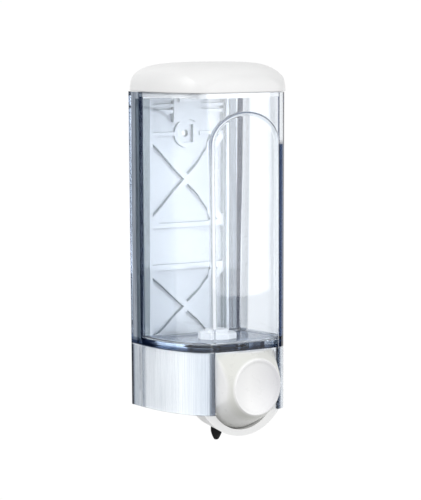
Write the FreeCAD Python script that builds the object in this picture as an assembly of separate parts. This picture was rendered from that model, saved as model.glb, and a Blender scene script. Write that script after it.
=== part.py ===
import FreeCAD, Part
import math
import os

# Wall mounted soap dispenser, refillable, push lever at the bottom.
# Millimetres. +Z up, -Y to the front, Y = 0 is the wall, X = 0 is the middle.
# z = 0 is the middle of the wall plate's back.

V = FreeCAD.Vector
os.makedirs("parts", exist_ok=True)

# ---------------------------------------------------------------- dimensions
z_top = 105.0            # top rim of the tank
z_floor = -62.0          # tank floor, upper side
z_floor_under = -66.0    # tank floor, lower side
z_skirt = -108.5         # bottom edge of the clear skirt
wall_t = 2.5             # tank wall thickness
skirt_t = 2.0            # skirt wall thickness
taper_x = 0.055          # narrowing of the width from top to skirt bottom
lean_y = 0.033           # growth of the depth from top to skirt bottom
back_wall_y = -11.0      # rear side of the tank's own back wall
lid_h = 19.8             # height of the lid's crown over the rim
lid_gap = 0.4
lid_over = 0.9           # the lid stands out over the body by this much
plate_hw = 32.3          # half width of the wall plate
plate_z0, plate_z1 = -100.0, 100.0
screw_r = 2.5            # radius of the two wall screw holes
screw_z1, screw_z0 = 75.6, -84.4
arch_a, arch_b = 28.0, 20.8   # half axes of the arch on the front panel
arch_z = 71.0                 # springing of the arch
arch_proud = 1.2
rail_x = 38.0            # inner side of the thick rails beside the wall plate
lever_hw = 25.2          # half width of the lever
lever_r = 27.5           # radius of its round bottom
lever_cz = -92.6         # centre of the lever's round bottom
lever_top = -66.8
lever_wall = 2.2
pad_r, pad_y, pad_z = 18.95, -89.0, -90.1
cone_slope = 1.15        # front cone around the pad
pivot_y, pivot_z = -69.0, -71.0
pin_r = 1.5
# the cup round the lever: (y, radius, height of the centre), front to rear
cup = [(-72.0, 37.8, -87.1), (-49.0, 29.5, -92.3), (-30.0, 20.0, -92.0)]
window_hw = 26.4         # half width of the skirt's front window
room_hw, room_r = 25.8, 28.0
tip_z = -131.5           # end of the nozzle
pump_y = -42.0           # vertical axis of inlet and nozzle
cyl_z = -93.4            # height of the cylinder's axis
cyl_r, cyl_ro = 8.0, 10.5
cyl_y0, cyl_y1 = -64.0, -31.0

# Plan of the body at the top rim: one side from the wall to the front ridge
side_pts = [(43.5, -0.5), (45.1, -14.0), (46.1, -28.0), (45.8, -40.0),
            (43.4, -53.0), (39.2, -65.0), (34.9, -71.1), (29.7, -74.2)]
front_bulge = 1.6


def export(shape, name):
    shape.exportStep("parts/" + name + ".step")


def offset_pts(pts, d):
    """Points moved inward by d, square to the line through their neighbours."""
    out = []
    n = len(pts)
    for i, (x, y) in enumerate(pts):
        x0, y0 = pts[max(i - 1, 0)]
        x1, y1 = pts[min(i + 1, n - 1)]
        tx, ty = x1 - x0, y1 - y0
        l = math.hypot(tx, ty)
        nx, ny = ty / l, -tx / l          # to the inside: side runs from wall to front
        if i == 0:
            out.append((x - d, y))
        elif i == n - 1:
            # the ridge: meet the front panel's offset
            out.append((x - d * 0.32, y + d * 0.97))
        else:
            out.append((x + nx * d, y + ny * d))
    return out


def plan(z, d=0.0, y_back=None):
    """Closed wire of the body's plan at height z, moved inward by d."""
    t = (z_top - z) / (z_top - z_skirt)
    sx, sy = 1.0 - taper_x * t, 1.0 + lean_y * t
    pts = offset_pts(side_pts, d)
    if y_back is not None:
        pts = [(pts[0][0], y_back)] + pts[1:]
    right = [V(x * sx, y * sy if y_back is None or i else y, z) for i, (x, y) in enumerate(pts)]
    left = [V(-p.x, p.y, p.z) for p in reversed(right)]
    c1, c2 = Part.BSplineCurve(), Part.BSplineCurve()
    c1.interpolate(right)
    c2.interpolate(left)
    rr, rl = right[-1], left[0]
    front = Part.Arc(rr, V(0, rr.y - front_bulge, z), rl)
    back = Part.LineSegment(left[-1], right[0])
    return Part.Wire([c1.toShape(), front.toShape(), c2.toShape(), back.toShape()])


def prism(z0, z1, d=0.0, y_back=None):
    return Part.makeLoft([plan(z0, d, y_back), plan(z1, d, y_back)], True, True)


def box(x0, x1, y0, y1, z0, z1):
    return Part.makeBox(x1 - x0, y1 - y0, z1 - z0, V(x0, y0, z0))


def cyl_zax(r, x, y, z0, z1):
    return Part.makeCylinder(r, z1 - z0, V(x, y, z0), V(0, 0, 1))


def cyl_yax(r, x, z, y0, y1):
    return Part.makeCylinder(r, y1 - y0, V(x, y0, z), V(0, 1, 0))


def cyl_xax(r, y, z, x0, x1):
    return Part.makeCylinder(r, x1 - x0, V(x0, y, z), V(1, 0, 0))


def tube(a, b):
    return a.cut(b)


def coil(r, wire_r, x, y, z, length, turns, axis):
    """Round wire spring from a point along an axis."""
    pitch = length / turns
    helix = Part.makeHelix(pitch, length, r)
    prof = Part.Wire([Part.Circle(V(r, 0, 0), V(0, 1, 0), wire_r).toShape()])
    s = Part.Wire(helix).makePipeShell([prof], True, True)
    if axis == "y":
        s.rotate(V(0, 0, 0), V(1, 0, 0), -90)
    s.translate(V(x, y, z))
    return s


# ---------------------------------------------------------------- wall plate
def build_wall_plate():
    hw = plate_hw
    # sheet with a rim behind it that lies on the wall
    p = box(-hw, hw, -7.0, 0.0, plate_z0, plate_z1)
    rear = box(-hw + 3.0, hw - 3.0, -2.0, 0.5, plate_z0 + 3.0, plate_z1 - 3.0)
    p = p.cut(rear)
    # cross ribs behind, on the wall
    for z in (-50.0, 0.0, 50.0):
        p = p.fuse(box(-hw + 2.0, hw - 2.0, -3.0, 0.0, z - 1.5, z + 1.5))
    # front pockets between the ribs, 3 deep
    rib = 4.6
    pockets = []

    def x_field(cz, h):
        # four triangles between two crossing arms
        w = hw - 2.6
        k = rib * 0.72
        a = V(-w, -7.5, cz + h - k); b = V(-w, -7.5, cz - h + k); c = V(-k * 0.9, -7.5, cz)
        pockets.append((a, b, c))
        pockets.append((V(w, -7.5, cz + h - k), V(w, -7.5, cz - h + k), V(k * 0.9, -7.5, cz)))
        pockets.append((V(-w + k, -7.5, cz + h), V(w - k, -7.5, cz + h), V(0, -7.5, cz + k * 0.9)))
        pockets.append((V(-w + k, -7.5, cz - h), V(w - k, -7.5, cz - h), V(0, -7.5, cz - k * 0.9)))

    x_field(44.4, 30.0)
    x_field(-43.2, 26.0)
    cut = None
    for tri in pockets:
        f = Part.Face(Part.makePolygon([tri[0], tri[1], tri[2], tri[0]]))
        s = f.extrude(V(0, 3.5, 0))
        cut = s if cut is None else cut.fuse(s)
    # plain fields between the cross ribs
    for z0, z1 in ((76.8, 89.5), (92.0, 94.0), (96.0, 98.4), (-13.6, 11.6), (-98.0, -70.5)):
        cut = cut.fuse(box(-hw + 2.6, hw - 2.6, -7.5, -4.0, z0, z1))
    p = p.cut(cut)
    # cross ribs
    for z, h in ((13.2, 1.5), (-15.3, 1.6), (75.6, 0.9)):
        p = p.fuse(box(-hw + 2.0, hw - 2.0, -7.0, -3.0, z - h, z + h))
    # step under the latch
    p = p.fuse(box(-11.2, 11.2, -7.6, -3.0, 83.6, plate_z1))
    # side flanges, forward
    for s in (-1, 1):
        x0, x1 = (-hw, -hw + 2.2) if s < 0 else (hw - 2.2, hw)
        p = p.fuse(box(x0, x1, -10.2, -3.0, plate_z0, plate_z1))
    # gussets at the flanges
    for s in (-1, 1):
        for z in (15.0, -17.0):
            a = V(s * (hw - 2.0), -7.0, z + 5); b = V(s * (hw - 2.0), -7.0, z - 5); c = V(s * (hw - 9.0), -7.0, z)
            g = Part.Face(Part.makePolygon([a, b, c, a])).extrude(V(0, 4.0, 0))
            p = p.fuse(g)
    # boss with its rectangular pocket, and the screw hole at its floor
    p = p.cut(cyl_yax(9.6, 0, screw_z1, -9.0, -5.8)).fuse(cyl_yax(9.6, 0, screw_z1, -5.8, -2.0))
    p = p.cut(box(-4.6, 4.6, -9.0, -3.4, screw_z1 - 6.2, screw_z1 + 6.2))
    p = p.fuse(cyl_yax(8.0, 0, screw_z0, -7.4, -2.0))
    p = p.fuse(cyl_yax(7.0, 0, screw_z1, -3.4, 0.0)).fuse(cyl_yax(7.0, 0, screw_z0, -4.0, 0.0))
    for z in (screw_z1, screw_z0):
        p = p.cut(cyl_yax(screw_r, 0, z, -12.0, 1.0))
    # two hooks that carry the lower housing
    for s in (-1, 1):
        x0, x1 = (14.0, 22.0) if s > 0 else (-22.0, -14.0)
        p = p.fuse(box(x0, x1, -17.2, -3.0, -92.0, -88.0))
        p = p.fuse(box(x0, x1, -17.2, -15.2, -92.0, -82.5))
    return p.removeSplitter()


# ---------------------------------------------------------------- clear tank and skirt
boss_xy = [(-27.0, -24.0), (27.0, -24.0), (-32.0, -45.0), (32.0, -45.0)]


def arch_wire(grow, y):
    a, b = arch_a + grow, arch_b + grow
    lo = z_floor_under - 0.3
    n = 28
    pts = []
    for i in range(n + 1):
        t = math.pi * i / n
        pts.append(V(a * math.cos(t), y, arch_z + b * math.sin(t)))
    c = Part.BSplineCurve()
    c.interpolate(pts)
    tp = 1.0 - taper_x * 0.80
    l1 = Part.LineSegment(pts[-1], V(-a * tp, y, lo))
    l2 = Part.LineSegment(V(-a * tp, y, lo), V(a * tp, y, lo))
    l3 = Part.LineSegment(V(a * tp, y, lo), pts[0])
    return Part.Wire([c.toShape(), l1.toShape(), l2.toShape(), l3.toShape()])


def build_reservoir():
    outer = prism(z_skirt, z_top)
    panel = Part.Face(arch_wire(0.0, -90.0)).extrude(V(0, 30, 0))
    panel = panel.common(prism(z_floor_under - 0.3, z_top, -arch_proud))
    body = outer.fuse(panel)
    # soap space
    cav = prism(z_floor, z_top + 1, wall_t).common(box(-60, 60, -90, back_wall_y - wall_t, -80, 120))
    body = body.cut(cav)
    # channel behind the tank's back wall, around the wall plate
    ch = prism(z_skirt - 1, z_top + 1, wall_t, 1.0).common(box(-rail_x, rail_x, back_wall_y, 5, -120, 120))
    body = body.cut(ch)
    # space inside the skirt
    sk = prism(z_skirt - 1, z_floor_under, skirt_t, 1.0)
    body = body.cut(sk)
    # window in the front of the skirt for the lever
    body = body.cut(box(-window_hw, window_hw, -90, -60, z_skirt - 1, z_floor_under - 0.3))
    # screw bosses under the floor
    for x, y in boss_xy:
        body = body.fuse(cyl_zax(3.6, x, y, -77.8, z_floor_under + 1))
        body = body.cut(cyl_zax(1.5, x, y, -78.5, -69.0))
    # outlet hole in the floor
    body = body.cut(cyl_zax(8.3, 0, pump_y, -70, -60))
    return body.removeSplitter()


# ---------------------------------------------------------------- lid
def build_lid():
    z0 = z_top + lid_gap
    over = -lid_over
    # rounded crown: stacked plans, drawn in towards the top along a quarter ellipse
    wires = []
    steps = [(0.0, 0.0), (5.0, 0.3), (9.0, 1.2), (12.0, 2.6), (14.5, 4.8), (16.5, 7.8), (18.0, 12.0), (19.0, 18.0), (19.4, 24.0)]
    for h, ins in steps:
        wires.append(lid_wire(z0 + h, ins + over))
    outer = Part.makeLoft(wires, True, True)
    inner = Part.makeLoft([lid_wire(z0 + h - (0.0 if h == 0 else 2.2), ins + over + 2.2) for h, ins in steps[:8]], True, True)
    lid = outer.cut(inner)
    lid = lid.cut(box(-60, 60, -90, 10, z0 - 5, z0))
    # plug ring that sits inside the tank's rim
    ring_o = prism(z0 - 3.6, z0 + 2.6, wall_t + 0.35).common(box(-60, 60, -90, back_wall_y - wall_t - 0.35, 0, 140))
    ring_i = prism(z0 - 4.6, z0 + 3.6, wall_t + 2.0).common(box(-60, 60, -90, back_wall_y - wall_t - 2.0, 0, 140))
    lid = lid.fuse(ring_o.cut(ring_i))
    # deck that joins ring and crown
    deck = prism(z0, z0 + 1.8, 1.0).common(box(-60, 60, -90, -1.0, 0, 140))
    lid = lid.fuse(deck.cut(ring_i))
    # guides for the latch behind the ring
    lid = lid.cut(box(-9.2, 9.2, back_wall_y + 0.4, back_wall_y + 3.6, z0 - 1, z0 + 12.2))
    return lid


def lid_wire(z, ins):
    """Plan of the lid at a height, drawn in by ins; rear edge stays near the wall."""
    pts = []
    cy = -36.0
    base = [(43.5, -0.6), (45.1, -14.0), (46.1, -28.0), (45.8, -40.0), (43.4, -53.0), (39.2, -65.0), (34.9, -70.9), (29.7, -73.9)]
    for x, y in base:
        fx = (46.1 - ins) / 46.1
        fy = (37.5 - ins) / 37.5
        pts.append(V(x * fx, cy + (y - cy) * fy, z))
    pts[0] = V(pts[0].x, min(pts[0].y, -0.6), z)
    right = pts
    left = [V(-p.x, p.y, p.z) for p in reversed(right)]
    fr = V(0, right[-1].y - front_bulge, z)
    c1, c2 = Part.BSplineCurve(), Part.BSplineCurve()
    c1.interpolate(right)
    c2.interpolate(left)
    front = Part.Arc(right[-1], fr, left[0])
    back = Part.LineSegment(left[-1], right[0])
    return Part.Wire([c1.toShape(), front.toShape(), c2.toShape(), back.toShape()])


def build_latch():
    z0 = z_top + lid_gap
    y0, y1 = back_wall_y + 0.9, back_wall_y + 3.1
    t = box(-8.4, 8.4, y0, y1, z0 - 8.0, z0 + 6.5)
    t = t.cut(box(-4.0, 4.0, y0 - 1, y1 + 1, z0 + 2.6, z0 + 7.5))
    return t


# ---------------------------------------------------------------- lower housing with the cup
def build_housing():
    g = 0.4
    zt, zb = -67.0, -108.2
    o = prism(zb, zt, skirt_t + g).common(box(-60, 60, -90, -12.5, -120, 0))
    i = prism(zb + 2.0, zt + 1, skirt_t + g + 2.0).common(box(-60, 60, -90, -14.7, -120, 0))
    h = o.cut(i)
    # deck under the screw bosses
    deck = prism(-80.0, -78.0, skirt_t + g + 0.5).common(box(-60, 60, -66, -13.5, -120, 0))
    h = h.fuse(deck)
    # cup: a shallow bowl, open to the front, drawn in towards the rear
    def bowl(sections):
        out = None
        for (y0, r0, c0), (y1, r1, c1) in zip(sections, sections[1:]):
            l = Part.makeLoft([Part.Wire([Part.Circle(V(0, y0, c0), V(0, 1, 0), r0).toShape()]),
                               Part.Wire([Part.Circle(V(0, y1, c1), V(0, 1, 0), r1).toShape()])], True, True)
            out = l if out is None else out.fuse(l)
        return out

    cone = bowl(cup).cut(box(-60, 60, -90, 0, -104.0, 0))
    # above the skirt's edge the cup stays inside the skirt
    inside = prism(zb, -100.0, skirt_t + g + 0.6).common(box(-60, 60, -95, -12.5, -120, 0))
    cone = cone.common(inside.fuse(box(-60, 60, -95, 0, -130, zb)))
    h = h.fuse(cone)
    # side walls beside the lever
    for s in (-1, 1):
        x0, x1 = (24.2, 28.2) if s > 0 else (-28.2, -24.2)
        cheek = box(x0, x1, -72.6, -50.0, zb + 0.5, zt).common(prism(zb, zt, skirt_t + g))
        h = h.fuse(cheek)
    # room for the lever inside the cup
    room = Part.makeLoft([u_wire(-95.0, room_hw, lever_cz, -60.0, room_r), u_wire(-66.0, room_hw, lever_cz, -60.0, room_r)], True, True)
    room2 = Part.makeLoft([u_wire(-66.0, room_hw, lever_cz, -60.0, room_r), u_wire(-51.5, room_hw - 0.1, lever_cz + 0.8, -60.0, room_r - 0.4)], True, True)
    h = h.cut(room.fuse(room2))
    # rear wall of the lever's room
    rear = box(-27.4, 27.4, -51.5, -49.3, zb + 0.5, -78.5).common(prism(zb, zt, skirt_t + g))
    h = h.fuse(rear)
    # space around the pump
    h = h.cut(cyl_zax(14.0, 0, pump_y, -81, -60))
    h = h.cut(box(-11.5, 11.5, -67, -27, -105.2, -77))
    inner_cone = bowl([(-49.3, 27.2, -92.3), (-32.0, 18.4, -92.0)])
    h = h.cut(inner_cone.common(box(-60, 60, -49.3, -22, -130, -100)))
    # hole for the nozzle collar
    h = h.cut(cyl_zax(8.2, 0, pump_y, -125, -104))
    # holes for the hinge pin (press seat) and the screws
    h = h.cut(cyl_xax(pin_r + 0.02, pivot_y, pivot_z, -27.5, 27.5))
    for x, y in boss_xy:
        h = h.cut(cyl_zax(1.8, x, y, -81, -77))
    # slots over the wall plate's hooks
    for s in (-1, 1):
        x0, x1 = (13.5, 22.5) if s > 0 else (-22.5, -13.5)
        h = h.cut(box(x0, x1, -18.0, -10.0, -115.0, -87.8))
    return h.removeSplitter()


# ---------------------------------------------------------------- lever
def u_wire(y, hw, cz, zt, r=None):
    """U outline: straight sides, and below them an arc of radius r about (0, cz)."""
    r = r or hw
    zj = cz - math.sqrt(max(r * r - hw * hw, 0.0))
    a = V(-hw, y, zt); b = V(-hw, y, zj); m = V(0, y, cz - r); c = V(hw, y, zj); d = V(hw, y, zt)
    return Part.Wire([Part.LineSegment(a, b).toShape(), Part.Arc(b, m, c).toShape(),
                      Part.LineSegment(c, d).toShape(), Part.LineSegment(d, a).toShape()])


def build_lever():
    yb = -64.0

    def u_body(inset, y_front):
        # straight to the rim of the cup, then drafted towards the pad
        w0 = u_wire(yb, lever_hw - inset, lever_cz, lever_top - inset, lever_r - inset)
        w1 = u_wire(-68.0, lever_hw - inset, lever_cz, lever_top - inset, lever_r - inset)
        w2 = u_wire(y_front, 21.0 - inset, -89.4, lever_top - inset)
        a = Part.makeLoft([w0, w1], True, True)
        b = Part.makeLoft([w1, w2], True, True)
        return a.fuse(b)

    big = u_body(0.0, -89.6)
    small = u_body(lever_wall, -85.4)

    def front_cone(dy):
        # body behind a cone whose small end is the pad
        r1 = 60.0
        y_end = pad_y + dy + (r1 - pad_r) * cone_slope
        c = Part.makeCone(pad_r, r1, y_end - (pad_y + dy), V(0, pad_y + dy, pad_z), V(0, 1, 0))
        return c

    big = big.common(front_cone(0.0))
    small = small.common(front_cone(4.2))
    small = small.fuse(box(-lever_hw + lever_wall, lever_hw - lever_wall, yb - 1, -60, -115, -60).common(u_body(lever_wall, -85.4)))
    lev = big.cut(small)
    # open rear above and behind the hinge
    lev = lev.cut(box(-lever_hw + lever_wall, lever_hw - lever_wall, -74.2, -50, -76, -60))
    # dish in the pad
    rs = 82.0
    depth = 2.2
    lev = lev.cut(Part.makeSphere(rs, V(0, pad_y - rs + depth, pad_z)))
    # side walls: rounded about the hinge
    for s in (-1, 1):
        x0, x1 = (lever_hw - lever_wall, lever_hw) if s > 0 else (-lever_hw, -lever_hw + lever_wall)
        lev = lev.cut(box(x0 - 0.1, x1 + 0.1, -69.0, -60, -72.0, -60))
        lev = lev.fuse(cyl_xax(3.6, pivot_y, pivot_z, x0, x1))
    # pusher on the inside, opposite the plunger
    lev = lev.fuse(cyl_yax(3.4, 0, cyl_z, -86.2, -83.75))
    # hinge bores
    lev = lev.cut(cyl_xax(pin_r + 0.05, pivot_y, pivot_z, -30, 30))
    return lev.removeSplitter()


# ---------------------------------------------------------------- pump
def build_pump_body():
    b = cyl_yax(cyl_ro, 0, cyl_z, cyl_y0, cyl_y1)
    stem = cyl_zax(8.0, 0, pump_y, -93.0, -57.0)
    flange = cyl_zax(13.0, 0, pump_y, -70.2, -67.6)
    out = cyl_zax(5.0, 0, pump_y, -111.0, -95.0)
    b = b.fuse(stem).fuse(flange).fuse(out)
    b = b.cut(cyl_yax(cyl_r, 0, cyl_z, cyl_y0 - 1, cyl_y1 + 1))
    b = b.cut(cyl_zax(6.5, 0, pump_y, -73.0, -56.0))
    b = b.cut(cyl_zax(5.2, 0, pump_y, -83.5, -72.5))
    b = b.cut(cyl_zax(2.5, 0, pump_y, -90.0, -83.0))
    b = b.cut(cyl_zax(2.8, 0, pump_y, -112.0, -95.0))
    return b.removeSplitter()


def build_all():
    nodes = {}
    nodes["wall_plate"] = build_wall_plate()
    nodes["reservoir_shell"] = build_reservoir()
    nodes["lid"] = build_lid()
    nodes["lock_latch"] = build_latch()
    nodes["lower_housing"] = build_housing()
    nodes["push_lever"] = build_lever()
    nodes["pump_body"] = build_pump_body()
    # hinge pin
    nodes["lever_pin"] = cyl_xax(pin_r, pivot_y, pivot_z, -27.4, 27.4)
    # ring that keeps the plunger in
    fr = cyl_yax(cyl_ro, 0, cyl_z, cyl_y0 - 2.0, cyl_y0).fuse(cyl_yax(cyl_r - 0.05, 0, cyl_z, cyl_y0, -60.2))
    nodes["front_retainer"] = fr.cut(cyl_yax(4.08, 0, cyl_z, -70, -55)).removeSplitter()
    # plunger: rod with a round end, and the piston with a groove
    pl = cyl_yax(4.0, 0, cyl_z, -79.4, -60.0).fuse(Part.makeSphere(4.0, V(0, -79.4, cyl_z)))
    pl = pl.fuse(cyl_yax(7.5, 0, cyl_z, -60.0, -52.0))
    pl = pl.cut(cyl_yax(9.0, 0, cyl_z, -57.4, -54.6).cut(cyl_yax(6.3, 0, cyl_z, -58, -54)))
    nodes["plunger"] = pl.removeSplitter()
    nodes["piston_seal"] = cyl_yax(7.95, 0, cyl_z, -57.2, -54.8).cut(cyl_yax(6.35, 0, cyl_z, -58, -54))
    nodes["return_spring"] = coil(6.2, 0.5, 0, -51.3, cyl_z, 15.5, 6, "y")
    # rear plug with its ring
    ec = cyl_yax(cyl_ro, 0, cyl_z, cyl_y1, cyl_y1 + 2.2).fuse(cyl_yax(cyl_r - 0.06, 0, cyl_z, -35.0, cyl_y1))
    ec = ec.cut(cyl_yax(9.0, 0, cyl_z, -34.0, -32.2).cut(cyl_yax(6.6, 0, cyl_z, -35, -31)))
    nodes["pump_end_cap"] = ec.removeSplitter()
    nodes["end_cap_oring"] = Part.makeTorus(7.3, 0.65, V(0, -33.1, cyl_z), V(0, 1, 0))
    # inlet valve
    seat = cyl_zax(6.4, 0, pump_y, -72.9, -69.6).cut(cyl_zax(2.8, 0, pump_y, -74, -69))
    nodes["inlet_seat"] = seat
    nodes["inlet_ball"] = Part.makeSphere(3.5, V(0, pump_y, -75.2))
    nodes["inlet_spring"] = coil(2.7, 0.3, 0, pump_y, -83.1, 4.4, 3, "z")
    # joint between tank floor and pump
    nodes["outlet_gasket"] = cyl_zax(13.0, 0, pump_y, -67.6, z_floor_under).cut(cyl_zax(8.4, 0, pump_y, -70, -60))
    nut = Part.Face(Part.makePolygon([V(13.0 * math.cos(a), pump_y + 13.0 * math.sin(a), z_floor)
                                      for a in [math.pi / 4 * k for k in range(9)]])).extrude(V(0, 0, 4.4))
    nodes["pump_lock_nut"] = nut.cut(cyl_zax(8.05, 0, pump_y, -63, -50))
    # strainer over the stem
    st = cyl_zax(7.8, 0, pump_y, -57.0, -55.6).fuse(cyl_zax(6.3, 0, pump_y, -60.0, -57.0).cut(cyl_zax(5.2, 0, pump_y, -61, -57.0)))
    for k in range(-2, 3):
        l = math.sqrt(max(5.0 ** 2 - (k * 2.0) ** 2, 1.0))
        st = st.cut(box(k * 2.0 - 0.5, k * 2.0 + 0.5, pump_y - l, pump_y + l, -58, -55))
    nodes["inlet_strainer"] = st.removeSplitter()
    # rubber nozzle: flange, neck, tapered bill
    noz = cyl_zax(5.6, 0, pump_y, -112.6, -111.0).fuse(cyl_zax(3.8, 0, pump_y, -126.2, -112.0))
    noz = noz.fuse(Part.makeCone(0.9, 3.8, -126.2 - tip_z, V(0, pump_y, tip_z), V(0, 0, 1)))
    noz = noz.cut(cyl_zax(2.4, 0, pump_y, -126.0, -110)).cut(Part.makeCone(0.3, 2.4, 3.9, V(0, pump_y, -129.9), V(0, 0, 1)))
    nodes["outlet_nozzle"] = noz.removeSplitter()
    col = cyl_zax(7.6, 0, pump_y, -119.8, -105.6)
    col = col.cut(cyl_zax(5.1, 0, pump_y, -111.0, -105)).cut(cyl_zax(5.7, 0, pump_y, -112.7, -110.9)).cut(cyl_zax(4.0, 0, pump_y, -121, -112))
    nodes["nozzle_collar"] = col.removeSplitter()
    # screws into the bosses under the floor
    scr = []
    for x, y in boss_xy:
        s = cyl_zax(1.45, x, y, -80.1, -70.0).fuse(cyl_zax(3.2, x, y, -82.2, -80.05))
        s = s.cut(box(x - 2.2, x + 2.2, y - 0.4, y + 0.4, -83, -81.2)).cut(box(x - 0.4, x + 0.4, y - 2.2, y + 2.2, -83, -81.2))
        scr.append(s.removeSplitter())
    nodes["housing_screws"] = Part.makeCompound(scr)
    z0 = z_top + lid_gap
    nodes["latch_spring"] = coil(0.95, 0.25, 0, back_wall_y + 2.0, z0 + 2.9, 8.4, 7, "z")
    return nodes


if __name__ == "__main__":
    for name, shape in build_all().items():
        export(shape, name)
        print(name, shape.ShapeType, len(shape.Solids), "valid" if shape.isValid() else "INVALID", round(shape.Volume))
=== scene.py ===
import bpy, bmesh, math
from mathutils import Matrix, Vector
from mathutils.geometry import tessellate_polygon


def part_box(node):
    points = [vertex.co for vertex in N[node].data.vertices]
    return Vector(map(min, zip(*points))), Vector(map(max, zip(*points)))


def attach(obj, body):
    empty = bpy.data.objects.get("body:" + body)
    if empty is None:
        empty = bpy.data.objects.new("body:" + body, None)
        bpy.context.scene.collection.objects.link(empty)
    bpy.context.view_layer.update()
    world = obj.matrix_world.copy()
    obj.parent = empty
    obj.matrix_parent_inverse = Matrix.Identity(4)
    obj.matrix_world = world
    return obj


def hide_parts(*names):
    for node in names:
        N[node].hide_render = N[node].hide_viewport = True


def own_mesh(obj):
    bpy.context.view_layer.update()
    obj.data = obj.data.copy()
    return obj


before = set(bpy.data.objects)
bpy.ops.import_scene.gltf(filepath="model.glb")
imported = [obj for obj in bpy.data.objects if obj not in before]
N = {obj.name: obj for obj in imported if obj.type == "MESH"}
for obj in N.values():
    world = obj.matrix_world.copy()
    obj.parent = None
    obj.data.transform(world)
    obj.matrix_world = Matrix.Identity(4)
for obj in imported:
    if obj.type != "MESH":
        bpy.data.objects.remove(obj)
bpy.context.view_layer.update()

MM = 0.001

# ------------------------------------------------------------------ shape data (mm)
Z_TOP, Z_SKIRT, Z_FLOOR, Z_UNDER = 105.0, -108.5, -62.0, -66.0
WALL, SKIRT = 2.5, 2.0
BACK_WALL = -11.0
RAIL_X = 38.0
SIDE = [(43.5, -0.5), (45.1, -14.0), (46.1, -28.0), (45.8, -40.0), (43.4, -53.0), (39.2, -65.0), (34.9, -71.1), (29.7, -74.2)]
BULGE = 1.6
ARCH_A, ARCH_B, ARCH_Z, PROUD = 27.6, 20.8, 71.0, 1.15
BEVEL = 2.2
WINDOW_X = 27.7          # in plan units at the rim
LEVER_HW, LEVER_R, LEVER_CZ, LEVER_TOP, LEVER_WALL = 25.2, 27.5, -92.6, -66.8, 2.2
PAD_R, PAD_Y, PAD_Z = 18.95, -89.0, -90.1
CONE = 1.15
PUMP_Y = -42.0
TIP_Z = -131.5


def sx(z):
    return 1.0 - 0.055 * (Z_TOP - z) / (Z_TOP - Z_SKIRT)


def sy(z):
    return 1.0 + 0.033 * (Z_TOP - z) / (Z_TOP - Z_SKIRT)


# ------------------------------------------------------------------ mesh helper
class Shell:
    """Collects vertices (mm) and faces, then makes one closed object."""

    def __init__(self):
        self.v, self.f = [], []

    def add(self, pts):
        i = len(self.v)
        self.v.extend(tuple(p) for p in pts)
        return list(range(i, i + len(pts)))

    def strip(self, a, b, closed=False):
        n = len(a)
        for i in range(n if closed else n - 1):
            j = (i + 1) % n
            self.f.append((a[i], a[j], b[j], b[i]))

    def grid(self, rows, closed=False):
        for a, b in zip(rows, rows[1:]):
            self.strip(a, b, closed)

    def fill(self, *loops):
        flat = [i for l in loops for i in l]
        for t in tessellate_polygon([[Vector(self.v[i]) for i in l] for l in loops]):
            tri = tuple(flat[k] for k in t)
            if len(set(tri)) == 3:
                self.f.append(tri)

    def fan(self, centre, loop):
        n = len(loop)
        for i in range(n):
            self.f.append((centre, loop[i], loop[(i + 1) % n]))

    def make(self, name, smooth=32.0):
        me = bpy.data.meshes.new(name)
        me.from_pydata([(x * MM, y * MM, z * MM) for x, y, z in self.v], [], self.f)
        bm = bmesh.new()
        bm.from_mesh(me)
        bmesh.ops.remove_doubles(bm, verts=bm.verts, dist=2e-6)
        bmesh.ops.dissolve_degenerate(bm, edges=bm.edges, dist=1e-6)
        loose = [v for v in bm.verts if not v.link_faces]
        bmesh.ops.delete(bm, geom=loose, context="VERTS")
        bmesh.ops.recalc_face_normals(bm, faces=bm.faces)
        bad = sum(1 for e in bm.edges if len(e.link_faces) != 2)
        vol = bm.calc_volume(signed=True)
        if vol < 0:
            bmesh.ops.reverse_faces(bm, faces=bm.faces)
        print("MESH", name, "faces", len(bm.faces), "open or branching edges", bad, "volume cm3", round(vol * 1e6, 2))
        bm.to_mesh(me)
        bm.free()
        for p in me.polygons:
            p.use_smooth = True
        me.set_sharp_from_angle(angle=math.radians(smooth))
        ob = bpy.data.objects.new(name, me)
        bpy.context.scene.collection.objects.link(ob)
        return ob


def spline(pts, per=40):
    """Natural cubic spline through 2-D points, chord length as the parameter."""
    n = len(pts)
    t = [0.0]
    for a, b in zip(pts, pts[1:]):
        t.append(t[-1] + math.dist(a, b))
    h = [t[i + 1] - t[i] for i in range(n - 1)]
    out_m = []
    for k in range(2):
        y = [p[k] for p in pts]
        a, b, c, d = [0.0] * n, [1.0] * n, [0.0] * n, [0.0] * n
        for i in range(1, n - 1):
            a[i], b[i], c[i] = h[i - 1], 2 * (h[i - 1] + h[i]), h[i]
            d[i] = 6 * ((y[i + 1] - y[i]) / h[i] - (y[i] - y[i - 1]) / h[i - 1])
        for i in range(1, n):
            w = a[i] / b[i - 1]
            b[i] -= w * c[i - 1]
            d[i] -= w * d[i - 1]
        m = [0.0] * n
        m[-1] = d[-1] / b[-1]
        for i in range(n - 2, -1, -1):
            m[i] = (d[i] - c[i] * m[i + 1]) / b[i]
        out_m.append(m)
    out = []
    for i in range(n - 1):
        for s in range(per if i < n - 2 else per + 1):
            u = s / per * h[i]
            p = []
            for k in range(2):
                m, y0, y1 = out_m[k], pts[i][k], pts[i + 1][k]
                A = (m[i + 1] - m[i]) / (6 * h[i])
                B = m[i] / 2
                C = (y1 - y0) / h[i] - h[i] * (2 * m[i] + m[i + 1]) / 6
                p.append(((A * u + B) * u + C) * u + y0)
            out.append(tuple(p))
    return out


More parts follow.
